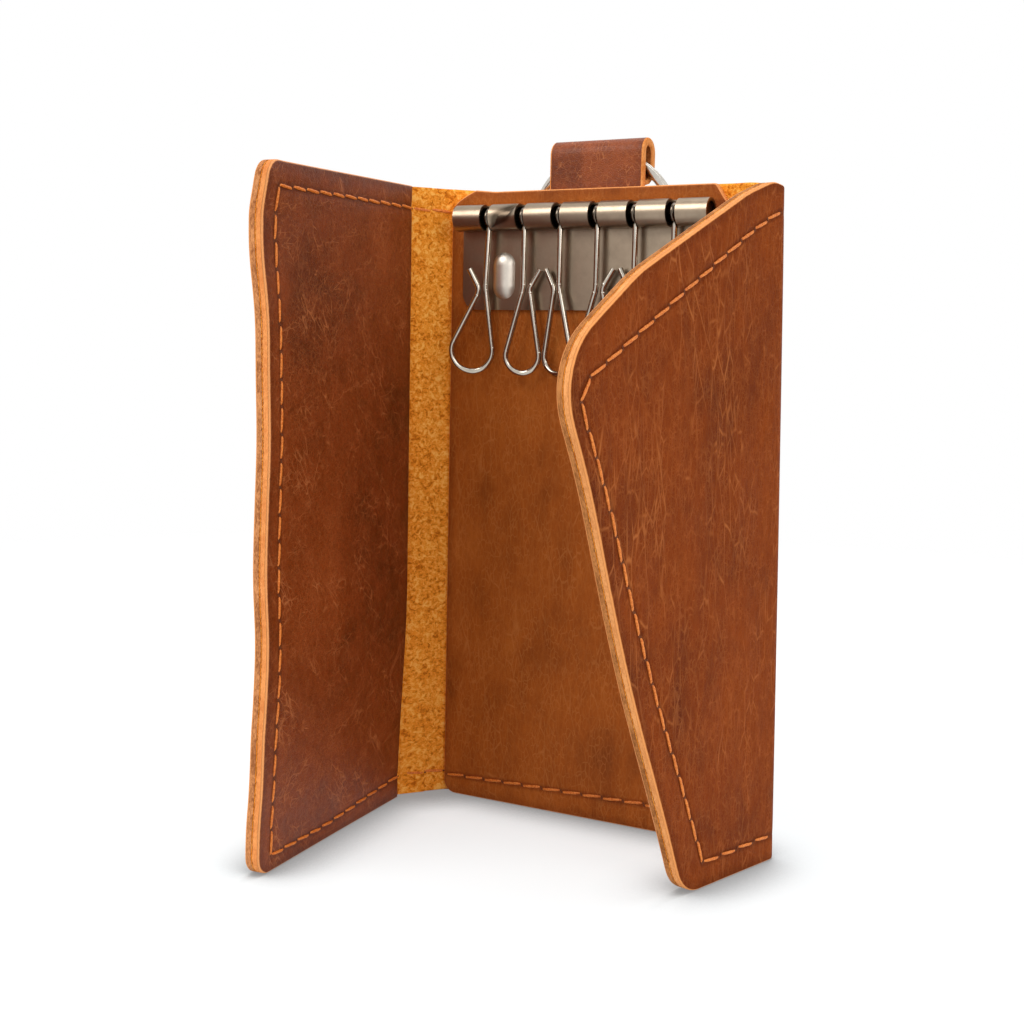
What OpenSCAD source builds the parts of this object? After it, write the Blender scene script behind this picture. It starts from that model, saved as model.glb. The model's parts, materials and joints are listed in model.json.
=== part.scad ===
// Trifold leather key case with a six-hook bar, standing open as it would on a desk.
// Frame: millimetres, +Z up. The origin lies on the bottom edge of the spine, in the middle of its
// thickness and width. The case opens towards -Y, and the hanging ring is behind it, on the +Y side.

/* [Leather] */
// Height of the case
case_h = 115; // [100:1:130]
// Thickness of every leather ply
leather_t = 1.4; // [1.2:0.1:1.8]
// Gap between the centre panel's sides and the first crease on each side
panel_side_gap = 0.3; // [0.2:0.1:1]
// Width of the bare band on the left, between its two creases
left_band_w = 9.3; // [9:0.1:13]
// Width of the bare band on the right, between its two creases
right_band_w = 11; // [10:0.1:16]
// Width of the left flap from its crease to its free edge
left_flap_w = 50; // [40:0.5:52]
// Length of leather on each side of a crease that bends with it
crease_reach = 0.5; // [0.3:0.1:1]
// Distance from a crease to the inner ply of its flap
lining_setback = 1; // [1:0.1:3]
// Radius of the small corners of the leather
corner_r = 3; // [1:0.5:6]

/* [Opening angles] */
// Turn of the crease between the spine and the left band
left_spine_turn = 54; // [40:1:66]
// Turn of the crease between the left band and the left flap
left_flap_turn = 42.4; // [30:0.1:90]
// Turn of the crease between the spine and the right band
right_spine_turn = 25; // [10:1:60]
// Turn of the crease between the right band and the right flap
right_flap_turn = 79; // [30:1:90]

/* [Right flap outline] */
// Width of the right flap at its bottom edge
flap_foot_w = 25.4; // [15:0.1:35]
// Width of the right flap at its pointed side
flap_point_w = 55.8; // [40:0.1:58]
// Height of the point above the bottom edge
flap_point_z = 84.4; // [60:0.1:95]
// Width of the short straight top edge beside the crease
flap_top_w = 3; // [2:0.1:15]
// Radius of the rounded point
flap_point_r = 13; // [4:0.5:15]
// How far the slope above the point swells out
flap_swell = 2.4; // [0.5:0.1:3]
// Radius of the swell
flap_swell_r = 30; // [10:1:60]
// Radius of its corners at the top and the foot
flap_corner_r = 6; // [2:0.5:8]

/* [Centre panel] */
// Width of the cut-off top corner on the left
left_chamfer_w = 5; // [2:0.1:8]
// Height of the cut-off top corner on the left
left_chamfer_h = 2.8; // [1:0.1:6]
// Width of the cut-off top corner on the right
right_chamfer_w = 3.3; // [2:0.1:8]
// Height of the cut-off top corner on the right
right_chamfer_h = 5; // [1:0.1:6]
// Radius of the bottom corners
panel_corner_r = 2.5; // [1:0.5:6]

/* [Seams] */
// Distance of the seams from the edges
seam_inset = 4; // [2:0.1:6]
// Distance of the spine's top seam from the edge
top_seam_inset = 3.4; // [2:0.1:6]
// Distance from one stitch to the next
stitch_pitch = 4.3; // [3:0.1:6]
// Visible length of one stitch
stitch_len = 3.2; // [2:0.1:4]
// Width of the waxed thread
thread_w = 0.7; // [0.4:0.1:1]
// Height that a stitch stands out of the leather
thread_rise = 0.3; // [0.2:0.05:0.5]

/* [Hook bar] */
// Length of the rolled tube and its plate
bar_len = 50; // [48:1:60]
// Margin of the centre panel beyond each end of the bar
bar_margin = 3; // [2:0.5:8]
// Thickness of the sheet metal
plate_t = 0.6; // [0.4:0.1:0.8]
// Depth of the tube's axis below the top edge
axle_drop = 5; // [4:0.1:15]
// Distance from the tube's axis down to the plate's lower edge
plate_drop = 16.6; // [14:0.1:24]
// Radius of the plate's lower corners
plate_corner_r = 3; // [0.5:0.5:4]
// Diameter of the rod that the hooks hang on
axle_d = 1.14; // [1:0.02:1.4]
// Radial clearance of a hook's eye on the rod
eye_clearance = 0.05; // [0.02:0.01:0.1]
// Radial clearance of a hook's eye in the tube
eye_room = 0.08; // [0.05:0.01:0.3]
// Distance from one hook to the next
hook_pitch = 7.35; // [7.35:0.05:8.5]
// Clearance on each side of a hook in its slot
slot_clearance = 0.35; // [0.3:0.05:0.6]

/* [Hooks] */
// Diameter of the hook wire
wire_d = 1.1; // [0.9:0.1:1.2]
// Radius of the round bottom of the loop, at the middle of the wire
loop_r = 3.15; // [2.2:0.05:3.15]
// Depth of the loop's bottom below the tube's axis, at the middle of the wire
hook_drop = 28.1; // [26:0.1:32]
// Depth of the pinch, where the free end comes close to the stem
pinch_drop = 13.3; // [11:0.1:15]
// Gap between the free end and the stem at the pinch
pinch_gap = 0.15; // [0.1:0.05:0.8]
// Length of the straight tip above the pinch
tip_len = 3.2; // [2:0.1:4]
// Angle at which the tip leaves the stem
tip_angle = 30; // [20:1:32]
// Turn of the first hook about its stem
first_hook_twist = 24; // [0:1:26]
// Turn of the third and fifth hook about their stems
odd_hook_twist = -13; // [-20:1:20]
// Turn of the second, fourth and sixth hook about their stems
even_hook_twist = 13; // [-20:1:13]
// Sideways lean of the first hook
first_hook_lean = 3; // [0:0.5:4]
// Radius of the first hook's loop, which is bent wider than the others
first_loop_r = 3.8; // [2.8:0.1:4]
// Distance of that loop's middle from its stem, towards the free end
first_loop_shift = 1.8; // [0:0.1:2]

/* [Rivets] */
// Width of the oval rivet head
rivet_head_w = 4.6; // [3.5:0.1:5]
// Length of the oval rivet head
rivet_head_len = 8.5; // [6:0.1:10]
// Height of the rivet head
rivet_head_h = 1.2; // [0.8:0.1:1.4]
// Diameter of the rivet's shank
rivet_shank_d = 2.5; // [2:0.1:3]
// Depth of the rivets below the tube's axis
rivet_drop = 10.4; // [9:0.1:12]
// Distance from each outer hook to the rivet beside it
rivet_offset = 2.2; // [2:0.1:4]
// Diameter of the washer behind the centre panel
washer_d = 6; // [5:0.1:8]
// Thickness of the washer
washer_t = 0.5; // [0.3:0.1:0.6]
// Thickness of the rivet's flared tail
tail_t = 0.3; // [0.2:0.05:0.4]

/* [Strap and ring] */
// Width of the leather strap
strap_w = 18.5; // [12:0.5:19]
// Distance of the strap's middle from the case's, towards the shaped flap
strap_x = 1.4; // [0:0.1:3]
// Height of the strap loop above the case
strap_rise = 8.7; // [8.6:0.1:12]
// Depth of the strap's ends between the plies
strap_tuck = 8; // [6:0.5:12]
// Outer diameter of the split ring
ring_d = 30; // [24.6:0.2:31]
// Radial width of the ring's wire
ring_wire_w = 1.4; // [1.2:0.1:1.6]
// Thickness of one of the ring's two turns
ring_turn_t = 0.95; // [0.8:0.05:1]

/* [Hidden] */

// Overrun of every cut
cut = 1;
// Number of hooks on the bar
hooks = 6;
// Straight runs of a seam round a wide corner
seam_arc_steps = 3;
flap_point = [flap_point_w, flap_point_z];
flap_top = [flap_top_w, case_h];
flap_swell_share = 0.37;
// Small clearance between pieces that lie side by side in one body
fit_gap = 0.05;
$fn = 48;

leather = [0.52, 0.25, 0.11];
suede = [0.72, 0.42, 0.16];
shell_brown = [0.6, 0.29, 0.12];
nickel = [0.78, 0.76, 0.73];
thread_orange = [0.8, 0.4, 0.12];

panel_w = bar_len + 2 * bar_margin;
spine_w = panel_w + 2 * panel_side_gap;
// The inner face of the shell, where its creases lie, and the face of the centre panel
inner_y = -leather_t / 2;
panel_front_y = inner_y - leather_t;

// The hook bar, seated on the centre panel: the tube is rolled round the hooks' eyes
eye_r = axle_d / 2 + eye_clearance + wire_d / 2;
bore_d = 2 * eye_r + wire_d + 2 * eye_room;
tube_d = bore_d + 2 * plate_t;
axle_y = panel_front_y - tube_d / 2;
axle_z = case_h - axle_drop;
plate_front_y = panel_front_y - plate_t;
slot_w = wire_d + 2 * slot_clearance;
axle_head_len = 2 * plate_t;

// One hook, in the plane of its wire
bend_r = 5 * wire_d;
flare_r = 2 * wire_d;
// The wire below the eye is a hair thinner, so that it meets the eye in a clean curve
stem_d = wire_d - fit_gap;

// Rivets, between the outer two hooks of each side
rivet_x = (hooks - 1) / 2 * hook_pitch - rivet_offset;
rivet_z = axle_z - rivet_drop;
rivet_dome_r = (pow(rivet_head_w / 2, 2) + pow(rivet_head_h, 2)) / (2 * rivet_head_h);
tail_d = (rivet_shank_d + washer_d) / 2;
rivet_recess = washer_t + tail_t + fit_gap;

// Strap and ring: the strap's two ends are thinned to half a ply each
tail_ply = leather_t / 2;
ring_t = 2 * ring_turn_t - fit_gap;
ring_gap = 0.3;
ring_room = 0.2;
strap_fold_r = ring_t / 2 + ring_gap;
strap_top_z = case_h + strap_rise;
strap_fold_z = strap_top_z - leather_t - strap_fold_r;
strap_inner_y = inner_y + tail_ply;
strap_fold_y = strap_inner_y + strap_fold_r;
strap_root_y = inner_y;
strap_root_r = tail_ply;
strap_root_z = case_h + strap_root_r + ring_room;
strap_floor_z = case_h + ring_room;
strap_floor_share = 0.6;
strap_floor_t = strap_floor_share * leather_t;
strap_bulge_share = 0.8;
ring_r = (ring_d - ring_wire_w) / 2;
ring_top_z = strap_fold_z + strap_fold_r - ring_room - ring_wire_w / 2;
// The ring leans back far enough to clear the shell's top edge
ring_back_y = leather_t / 2 + ring_t / 2 + ring_gap;
ring_tilt = atan((ring_back_y - strap_fold_y) / (ring_top_z - case_h));

// A closed outline whose corners are rounded: each corner is [x, y, radius]
function unit(v) = v / norm(v);
function corner_arc(p, q, r, radius, steps = 6) =
    radius == 0 ? [q] :
    let (
        a = unit(p - q),
        b = unit(r - q),
        half = acos(a * b) / 2,
        middle = q + unit(a + b) * radius / sin(half),
        from = q + a * radius / tan(half) - middle,
        to = q + b * radius / tan(half) - middle,
        start = atan2(from.y, from.x),
        turn = atan2(from.x * to.y - from.y * to.x, from * to))
    [for (i = [0:steps]) middle + radius * [cos(start + turn * i / steps), sin(start + turn * i / steps)]];
function xy(c) = [c.x, c.y];
function rounded(corners) = [
    for (i = [0:len(corners) - 1])
        each corner_arc(
            xy(corners[(i + len(corners) - 1) % len(corners)]), xy(corners[i]),
            xy(corners[(i + 1) % len(corners)]), corners[i][2])];

// Part of a circle as points, from one angle to another
function arc(middle, radius, from, to, steps = 12) = [
    for (i = [0:steps])
        middle + radius * [cos(from + (to - from) * i / steps), sin(from + (to - from) * i / steps)]];

// Corners of the right flap: from its crease to the foot, the point, the swell, the top and back
function right_corners(from) =
    let (slope = flap_top - flap_point, swell = flap_point + flap_swell_share * slope
        + flap_swell * unit([slope.y, -slope.x]))
    [
        [from, 0, 0],
        [flap_foot_w, 0, flap_corner_r],
        [flap_point.x, flap_point.y, flap_point_r],
        [swell.x, swell.y, flap_swell_r],
        [flap_top.x, flap_top.y, flap_corner_r],
        [from, case_h, 0]];

// Corners that the right flap's seam follows: it runs straight below the swell
function right_seam_corners(from) = [
    [from, 0, 0],
    [flap_foot_w, 0, flap_corner_r],
    [flap_point.x, flap_point.y, flap_point_r],
    [flap_top.x, flap_top.y, flap_corner_r],
    [from, case_h, 0]];

// Corners of the left flap, square but for two small radii
function left_corners(from) = [
    [from, 0, 0],
    [left_flap_w, 0, corner_r],
    [left_flap_w, case_h, corner_r],
    [from, case_h, 0]];

// The line of a seam inside a flap's corners, open on the side of the crease. It is round at a wide corner
function seam_corner(p, q, r) =
    let (a = unit(p - q), b = unit(r - q))
    q + unit(a + b) * seam_inset / sin(acos(a * b) / 2);
function seam_radius(corner) = corner[2] > 2 * seam_inset ? corner[2] - seam_inset : 0;
function seam_line(corners) =
    let (bends = concat(
        [[corners[0].x, seam_inset]],
        [for (i = [1:len(corners) - 2]) seam_corner(xy(corners[i - 1]), xy(corners[i]), xy(corners[i + 1]))],
        [[corners[0].x, case_h - seam_inset]]))
    concat(
        [bends[0]],
        [for (i = [1:len(bends) - 2])
            each corner_arc(bends[i - 1], bends[i], bends[i + 1], seam_radius(corners[i]), seam_arc_steps)],
        [bends[len(bends) - 1]]);

// A leather ply lies in the XZ plane, from y = back to y = back + thickness
module ply(outline, back, thickness = leather_t) {
    translate([0, back + thickness, 0])
        rotate([90, 0, 0])
            linear_extrude(thickness)
                polygon(outline);
}

// Frames of the four pieces that fold. In each, X runs away from the spine, and the inner face is y = 0
module on_left_band() {
    translate([-spine_w / 2, inner_y, 0])
        rotate([0, 0, left_spine_turn])
            mirror([1, 0, 0])
                children();
}

module on_left_flap() {
    on_left_band()
        translate([left_band_w, 0, 0])
            rotate([0, 0, -left_flap_turn])
                children();
}

module on_right_band() {
    translate([spine_w / 2, inner_y, 0])
        rotate([0, 0, -right_spine_turn])
            children();
}

module on_right_flap() {
    on_right_band()
        translate([right_band_w, 0, 0])
            rotate([0, 0, -right_flap_turn])
                children();
}

// The bent strip of leather at a crease, drawn in the frame of the piece before the crease
module crease(turn) {
    along = [cos(turn), -sin(turn)];
    outward = [sin(turn), cos(turn)];
    linear_extrude(case_h)
        polygon(concat(
            [[0, 0], [-crease_reach, 0], [-crease_reach, leather_t]],
            arc([0, 0], leather_t, 90, 90 - turn),
            [leather_t * outward + crease_reach * along, crease_reach * along]));
}

module band(width) {
    translate([crease_reach, 0, 0])
        cube([width - 2 * crease_reach, leather_t, case_h]);
}

module shell_spine() {
    color(shell_brown)
        difference() {
            translate([crease_reach - spine_w / 2, inner_y, 0])
                cube([spine_w - 2 * crease_reach, leather_t, case_h]);
            translate([strap_x - strap_w / 2 - fit_gap, inner_y - cut, case_h - strap_tuck - fit_gap])
                cube([strap_w + 2 * fit_gap, cut + tail_ply + fit_gap, strap_tuck + fit_gap + cut]);
        }
}

module shell_left_band() {
    color(suede)
        on_left_band()
            band(left_band_w);
}

module shell_right_band() {
    color(suede)
        on_right_band()
            band(right_band_w);
}

module shell_left_flap() {
    color(shell_brown)
        on_left_flap()
            ply(rounded(left_corners(crease_reach)), 0);
}

module shell_right_flap() {
    color(shell_brown)
        on_right_flap()
            ply(rounded(right_corners(crease_reach)), 0);
}

module crease_left_spine() {
    color(shell_brown)
        translate([-spine_w / 2, inner_y, 0])
            mirror([1, 0, 0])
                crease(left_spine_turn);
}

module crease_left_flap() {
    color(shell_brown)
        on_left_band()
            translate([left_band_w, 0, 0])
                crease(left_flap_turn);
}

module crease_right_spine() {
    color(shell_brown)
        translate([spine_w / 2, inner_y, 0])
            crease(right_spine_turn);
}

module crease_right_flap() {
    color(shell_brown)
        on_right_band()
            translate([right_band_w, 0, 0])
                crease(right_flap_turn);
}

module centre_panel() {
    half = panel_w / 2;
    color(leather)
        difference() {
            ply(rounded([
                [-half, 0, panel_corner_r], [half, 0, panel_corner_r],
                [half, case_h - right_chamfer_h, 0], [half - right_chamfer_w, case_h, 0],
                [left_chamfer_w - half, case_h, 0], [-half, case_h - left_chamfer_h, 0]]), panel_front_y);
            // Recess for the front end of the strap
            translate([strap_x - strap_w / 2 - fit_gap, inner_y - tail_ply - fit_gap, case_h - strap_tuck - fit_gap])
                cube([strap_w + 2 * fit_gap, cut + tail_ply + fit_gap, strap_tuck + fit_gap + cut]);
            for (side = [-1, 1])
                translate([side * rivet_x, 0, rivet_z])
                    rotate([90, 0, 0]) {
                        translate([0, 0, -cut])
                            cylinder(h = leather_t * 2 + 2 * cut, d = rivet_shank_d + 2 * fit_gap);
                        translate([0, 0, -cut])
                            cylinder(h = rivet_recess + cut - inner_y, d = washer_d + 2 * fit_gap);
                    }
        }
}

module left_pocket_panel() {
    color(leather)
        on_left_flap()
            ply(rounded(left_corners(lining_setback)), -leather_t);
}

module right_flap_lining() {
    color(leather)
        on_right_flap()
            ply(rounded(right_corners(lining_setback)), -leather_t);
}

module hook_plate() {
    half = bar_len / 2;
    color(nickel)
        difference() {
            union() {
                translate([-half, axle_y, axle_z])
                    rotate([0, 90, 0])
                        cylinder(h = bar_len, d = tube_d);
                ply(rounded([
                    [-half, axle_z - plate_drop, plate_corner_r],
                    [half, axle_z - plate_drop, plate_corner_r],
                    [half, axle_z, 0], [-half, axle_z, 0]]), plate_front_y, plate_t);
            }
            translate([-half - cut, axle_y, axle_z])
                rotate([0, 90, 0])
                    cylinder(h = bar_len + 2 * cut, d = bore_d);
            for (i = [0:hooks - 1])
                translate([
                    hook_x(i) - slot_w / 2, axle_y + wire_d / 2 + slot_clearance - tube_d - cut,
                    axle_z - tube_d / 2 - cut])
                    cube([slot_w, tube_d + cut, tube_d + 2 * cut]);
            for (side = [-1, 1])
                translate([side * rivet_x, 0, rivet_z])
                    rotate([90, 0, 0])
                        cylinder(h = tube_d + leather_t, d = rivet_shank_d + 2 * fit_gap);
        }
}

// The rod, with a round head at each end that fills the tube
module hook_axle() {
    half = bar_len / 2 - plate_t;
    color(nickel)
        translate([0, axle_y, axle_z])
            rotate([0, 90, 0]) {
                translate([0, 0, -half])
                    cylinder(h = 2 * half, d = axle_d);
                for (side = [-1, 1])
                    translate([0, 0, side > 0 ? half - axle_head_len : -half])
                        cylinder(h = axle_head_len, d = bore_d);
            }
}

function hook_x(i) = (i - (hooks - 1) / 2) * hook_pitch;

// Angle from the vertical of the line that touches two circles on opposite sides: their middles are
// dx and dz apart, and r is the sum of their radii
function tangent_angle(dx, dz, r) = asin(r / norm([dx, dz])) - atan(dx / dz);

// A bent wire: each step is [length, 0] for a straight run or [radius, turn] for a bend.
// The run starts at the origin along +Z, and a positive turn bends it towards -X.
// A ball that stands out by half a hair closes each joint
module wire_run(steps, i = 0) {
    if (i < len(steps)) {
        size = steps[i][0];
        turn = steps[i][1];
        side = sign(turn);
        if (i > 0)
            sphere(d = stem_d + fit_gap);
        if (turn == 0) {
            cylinder(h = size, d = stem_d);
            translate([0, 0, size])
                wire_run(steps, i + 1);
        } else {
            rotate([0, 0, side > 0 ? 0 : 180])
                translate([-size, 0, 0])
                    rotate([90, 0, 0])
                        rotate_extrude(angle = abs(turn))
                            translate([size, 0])
                                circle(d = stem_d);
            translate([-side * size, 0, 0])
                rotate([0, -turn, 0])
                    translate([side * size, 0, 0])
                        wire_run(steps, i + 1);
        }
    }
}

// A hook whose free end is on its left. Its loop is a teardrop whose middle lies below the eye, or
// shifted from there towards the free end
module hook(twist, lean, round_r, shift) {
    stem_run = pinch_drop - eye_r - wire_d;
    loop_z = round_r - hook_drop;
    // From the stem to the loop
    side_rise = -eye_r - stem_run - loop_z;
    side_reach = bend_r + shift;
    side_angle = tangent_angle(side_reach, side_rise, round_r + bend_r);
    side_run = side_rise * cos(side_angle) - side_reach * sin(side_angle);
    // From the loop to the free end, which comes closest to the stem at the pinch
    free_reach = flare_r + wire_d + pinch_gap - shift;
    free_rise = -pinch_drop - loop_z;
    free_angle = tangent_angle(free_reach, free_rise, round_r + flare_r);
    free_run = free_rise * cos(free_angle) - free_reach * sin(free_angle);
    rotate([0, lean, 0]) {
        rotate([0, 90, 0])
            rotate_extrude()
                translate([eye_r, 0])
                    circle(d = wire_d);
        rotate([0, 0, twist])
            translate([0, 0, -eye_r])
                rotate([0, 180, 0])
                    wire_run([
                        [stem_run, 0],
                        [bend_r, side_angle],
                        [side_run, 0],
                        [round_r, -180 - side_angle - free_angle],
                        [free_run, 0],
                        [flare_r, free_angle + tip_angle],
                        [tip_len, 0]]);
    }
}

module key_hook(i) {
    // Every second hook is turned round, so that its free end is on the right
    turned = i % 2;
    first = i == 0;
    twist = first ? first_hook_twist : turned ? even_hook_twist : odd_hook_twist;
    color(nickel)
        translate([hook_x(i), axle_y, axle_z])
            mirror([turned, 0, 0])
                hook(
                    turned ? -twist : twist, first ? first_hook_lean : 0, first ? first_loop_r : loop_r,
                    first ? first_loop_shift : 0);
}

module hook_rivet(side) {
    dome_y = plate_front_y - rivet_head_h + rivet_dome_r;
    straight = rivet_head_len - rivet_head_w;
    back_y = inner_y - fit_gap;
    color(nickel)
        translate([side * rivet_x, 0, rivet_z]) {
            intersection() {
                translate([0, dome_y, 0])
                    union() {
                        translate([0, 0, -straight / 2])
                            cylinder(h = straight, r = rivet_dome_r);
                        for (end = [-1, 1])
                            translate([0, 0, end * straight / 2])
                                sphere(r = rivet_dome_r);
                    }
                translate([-rivet_head_len, plate_front_y - 2 * rivet_head_h, -rivet_head_len])
                    cube([2 * rivet_head_len, 2 * rivet_head_h, 2 * rivet_head_len]);
            }
            translate([0, back_y, 0])
                rotate([90, 0, 0]) {
                    cylinder(h = back_y - plate_front_y + rivet_head_h / 2, d = rivet_shank_d);
                    cylinder(h = tail_t, d = tail_d);
                }
        }
}

module rivet_washer(side) {
    color(nickel)
        translate([side * rivet_x, inner_y - fit_gap - tail_t, rivet_z])
            rotate([90, 0, 0])
                difference() {
                    cylinder(h = washer_t, d = washer_d);
                    translate([0, 0, -cut])
                        cylinder(h = washer_t + 2 * cut, d = rivet_shank_d);
                }
}

// The strap's two thinned ends, between the shell and the centre panel
module strap_tails() {
    color(leather)
        translate([strap_x - strap_w / 2, inner_y - tail_ply, case_h - strap_tuck])
            cube([strap_w, 2 * tail_ply, strap_tuck]);
}

// The strap's loop, seen from its side as y and z, with the room for the ring inside it
module strap_loop() {
    front = strap_root_y - strap_root_r;
    back = strap_fold_y + strap_fold_r;
    bulge = strap_bulge_share * strap_fold_r;
    fold = [strap_fold_y, strap_fold_z];
    room_floor = strap_floor_z + strap_floor_t;
    color(leather)
        translate([strap_x - strap_w / 2, 0, 0])
            rotate([90, 0, 90])
                linear_extrude(strap_w)
                    difference() {
                        polygon(concat(
                            arc([strap_root_y, strap_root_z], strap_root_r, 180, 270),
                            corner_arc(
                                [strap_root_y, strap_floor_z],
                                [back + bulge + leather_t, strap_floor_z],
                                [back + leather_t, strap_fold_z], leather_t),
                            arc(fold, strap_fold_r + leather_t, 0, 180)));
                        polygon(concat(
                            [[strap_inner_y, room_floor]],
                            corner_arc(
                                [strap_inner_y, room_floor], [back + bulge, room_floor],
                                [back, strap_fold_z], ring_gap),
                            arc(fold, strap_fold_r, 0, 180)));
                    }
}

// Two turns of flattened wire side by side, each with a step where the wire ends
module split_ring() {
    sides = 16;
    end_angle = 12;
    turn_outline = [
        for (i = [0:sides - 1])
            [ring_wire_w / 2 * cos(i * 360 / sides), ring_turn_t / 2 * sin(i * 360 / sides)]];
    color(nickel)
        translate([strap_x, strap_fold_y, ring_top_z])
            rotate([ring_tilt, 0, 0])
                translate([0, 0, -ring_r])
                    rotate([90, 0, 0])
                        difference() {
                            union()
                                for (side = [-1, 1])
                                    translate([0, 0, side * (ring_turn_t - fit_gap) / 2])
                                        rotate_extrude()
                                            translate([ring_r, 0])
                                                polygon(turn_outline);
                            for (side = [-1, 1])
                                rotate([0, 0, side * end_angle - 90])
                                    translate([ring_r, 0, side * ring_turn_t * 3 / 4])
                                        cube([2 * ring_wire_w, ring_gap, ring_turn_t], center = true);
                        }
}

// Stitches along a line of points on the plane y = face. They rise towards -Y if side is -1.
// A run shorter than half the pitch holds none
module stitches(points, face, side) {
    for (k = [0:len(points) - 2]) {
        from = points[k];
        span = points[k + 1] - from;
        count = round(norm(span) / stitch_pitch);
        if (count > 0)
            for (i = [0:count - 1])
                translate([from.x + span.x * (i + 0.5) / count, face, from.y + span.y * (i + 0.5) / count])
                    rotate([0, -atan2(span.y, span.x), 0])
                        stitch(side);
    }
}

// One stitch along X: its flat side lies on the leather
module stitch(side) {
    mirror([0, side > 0 ? 1 : 0, 0])
        translate([-stitch_len / 2, 0, 0])
            rotate([90, 0, 90])
                linear_extrude(stitch_len)
                    polygon([
                        [0, -thread_w / 2], [-0.7 * thread_rise, -0.4 * thread_w],
                        [-thread_rise, 0], [-0.7 * thread_rise, 0.4 * thread_w], [0, thread_w / 2]]);
}

module stitching_spine_top() {
    reach = panel_w / 2 - left_chamfer_w;
    seam = [[-reach, case_h - top_seam_inset], [reach, case_h - top_seam_inset]];
    color(thread_orange) {
        stitches(seam, panel_front_y, -1);
        stitches(seam, leather_t / 2, 1);
    }
}

module stitching_spine_bottom() {
    reach = panel_w / 2 - crease_reach;
    seam = [[-reach, seam_inset], [reach, seam_inset]];
    color(thread_orange) {
        stitches(seam, panel_front_y, -1);
        stitches(seam, leather_t / 2, 1);
    }
}

module band_stitching(width) {
    for (z = [seam_inset, case_h - seam_inset]) {
        stitches([[crease_reach, z], [width - crease_reach, z]], 0, -1);
        stitches([[crease_reach, z], [width - crease_reach, z]], leather_t, 1);
    }
}

module stitching_left_band() {
    color(thread_orange)
        on_left_band()
            band_stitching(left_band_w);
}

module stitching_right_band() {
    color(thread_orange)
        on_right_band()
            band_stitching(right_band_w);
}

module stitching_left_flap() {
    color(thread_orange)
        on_left_flap() {
            stitches(seam_line(left_corners(lining_setback)), -leather_t, -1);
            stitches(seam_line(left_corners(lining_setback)), leather_t, 1);
        }
}

module stitching_right_flap() {
    color(thread_orange)
        on_right_flap() {
            stitches(seam_line(right_seam_corners(lining_setback)), -leather_t, -1);
            stitches(seam_line(right_seam_corners(lining_setback)), leather_t, 1);
        }
}

shell_spine();
shell_left_band();
shell_left_flap();
shell_right_band();
shell_right_flap();
crease_left_spine();
crease_left_flap();
crease_right_spine();
crease_right_flap();
centre_panel();
left_pocket_panel();
right_flap_lining();
hook_plate();
hook_axle();
key_hook(0);  // key_hook_1
key_hook(1);  // key_hook_2
key_hook(2);  // key_hook_3
key_hook(3);  // key_hook_4
key_hook(4);  // key_hook_5
key_hook(5);  // key_hook_6
hook_rivet(-1);  // hook_rivet_left
hook_rivet(1);  // hook_rivet_right
rivet_washer(-1);  // rivet_washer_left
rivet_washer(1);  // rivet_washer_right
strap_tails();
strap_loop();
split_ring();
stitching_spine_top();
stitching_spine_bottom();
stitching_left_band();
stitching_left_flap();
stitching_right_band();
stitching_right_flap();
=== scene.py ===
"""Dresses the leather key case.

It makes the leather plies with their raw edges, the seams, the nickel hardware, the floor, the
lights and the camera. Lengths are in millimetres up to the making of each mesh."""

import json
import math
import random

import bpy
import numpy as np
from mathutils import Matrix, Vector


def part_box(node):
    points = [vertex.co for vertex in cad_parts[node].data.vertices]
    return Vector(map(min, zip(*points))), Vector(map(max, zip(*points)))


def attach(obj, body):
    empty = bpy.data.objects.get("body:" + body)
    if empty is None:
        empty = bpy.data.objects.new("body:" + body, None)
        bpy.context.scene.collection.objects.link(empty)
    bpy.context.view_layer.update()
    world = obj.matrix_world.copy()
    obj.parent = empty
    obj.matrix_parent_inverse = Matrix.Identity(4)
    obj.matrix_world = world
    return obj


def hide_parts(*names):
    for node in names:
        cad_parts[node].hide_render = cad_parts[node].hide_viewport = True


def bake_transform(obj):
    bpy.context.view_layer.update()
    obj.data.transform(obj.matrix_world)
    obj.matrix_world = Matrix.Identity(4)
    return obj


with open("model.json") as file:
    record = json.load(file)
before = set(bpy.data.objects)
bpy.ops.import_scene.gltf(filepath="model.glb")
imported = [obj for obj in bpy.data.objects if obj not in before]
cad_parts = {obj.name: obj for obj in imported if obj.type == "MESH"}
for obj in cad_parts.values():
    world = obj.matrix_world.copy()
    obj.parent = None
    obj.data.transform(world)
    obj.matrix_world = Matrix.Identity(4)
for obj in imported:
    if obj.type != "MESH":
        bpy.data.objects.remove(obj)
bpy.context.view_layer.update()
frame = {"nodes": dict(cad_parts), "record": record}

MM = 0.001
JOINTS = {j["name"]: j for j in frame["record"]["behaviour"]["joints"]}

# Sizes as in the model
CASE_H = 115.0
PLY = 1.4
HALF_PLY = PLY / 2
PANEL_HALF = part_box("centre_panel")[1].x / MM
LEFT_FLAP_W = 50.0
RIGHT_BAND_W = 11.0
LINING_SETBACK = 1.0
SEAM_INSET = 4.0
TOP_SEAM_Z = CASE_H - 3.4
BOTTOM_SEAM_Z = (3.7, 5.0)
STITCH_PITCH = 4.3
STRAP_HALF = 9.25
FLAP_SWELL = 2.4
FLAP_SWELL_SHARE = 0.37

# Sizes of what only this script shows: rounded borders, pressed seams, thread and needle holes
EDGE_ROUND = 0.42
JOINT_ROUND = 0.1
SEAM_DEPTH, SEAM_WIDTH = 0.16, 0.75
FAR_FROM_SEAM = 1e3
STITCH_LEN = 3.95
THREAD_R = 0.27
STITCH_SLANT, STITCH_SWAY, STITCH_SINK = 0.16, 0.06, 0.16
STITCH_RINGS, STITCH_SIDES = 11, 10
HOLE_AHEAD, HOLE_SINK, HOLE_LIFT = 0.1, 0.12, 0.03
HOLE_LONG, HOLE_WIDE = 0.2, 0.17

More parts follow.
